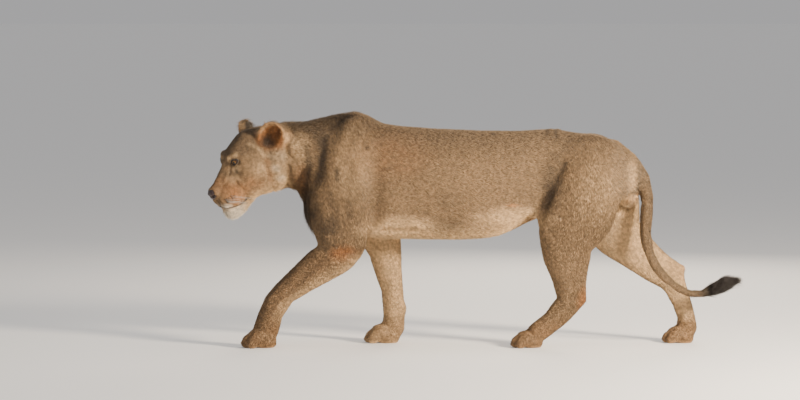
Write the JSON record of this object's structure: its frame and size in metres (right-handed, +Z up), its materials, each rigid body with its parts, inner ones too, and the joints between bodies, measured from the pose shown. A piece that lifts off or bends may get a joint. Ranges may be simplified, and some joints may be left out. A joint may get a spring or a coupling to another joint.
{
  "type": "life-size walking lion",
  "caption": "Life-size maneless male lion as a still museum model, walking with its head low and turned to its left, standing on all its paws.",
  "frame": {"origin": "on the floor, under the middle of the model's box", "axes": "+X towards the tail, so the lion walks towards -X; +Y towards its right side; +Z up"},
  "size_m": [2.3702, 0.3984, 1.0567],
  "materials": {
    "coat": "short flat sandy fur, ticked with dark tips, paler underneath",
    "dark_hair": "long black-brown hair of the tail's tuft",
    "nose_leather": "bare, slightly moist dark skin",
    "eye": "wet amber eye"
  },
  "bodies": {
    "root": {"head": "coat", "lower_jaw": "coat", "nose_pad": "nose_leather", "ear_left": "coat", "ear_right": "coat", "eye_left": "eye", "eye_right": "eye", "neck": "coat", "chest": "coat", "abdomen": "coat", "rump": "coat", "left_upper_arm": "coat", "left_forearm": "coat", "left_forepaw": "coat", "right_upper_arm": "coat", "right_forearm": "coat", "right_forepaw": "coat", "left_thigh": "coat", "left_shank": "coat", "left_metatarsus": "coat", "left_hindpaw": "coat", "right_thigh": "coat", "right_shank": "coat", "right_metatarsus": "coat", "right_hindpaw": "coat", "tail_root": "coat", "tail_middle": "coat", "tail_end": "coat", "tail_tuft": "dark_hair"}
  },
  "joints": []
}
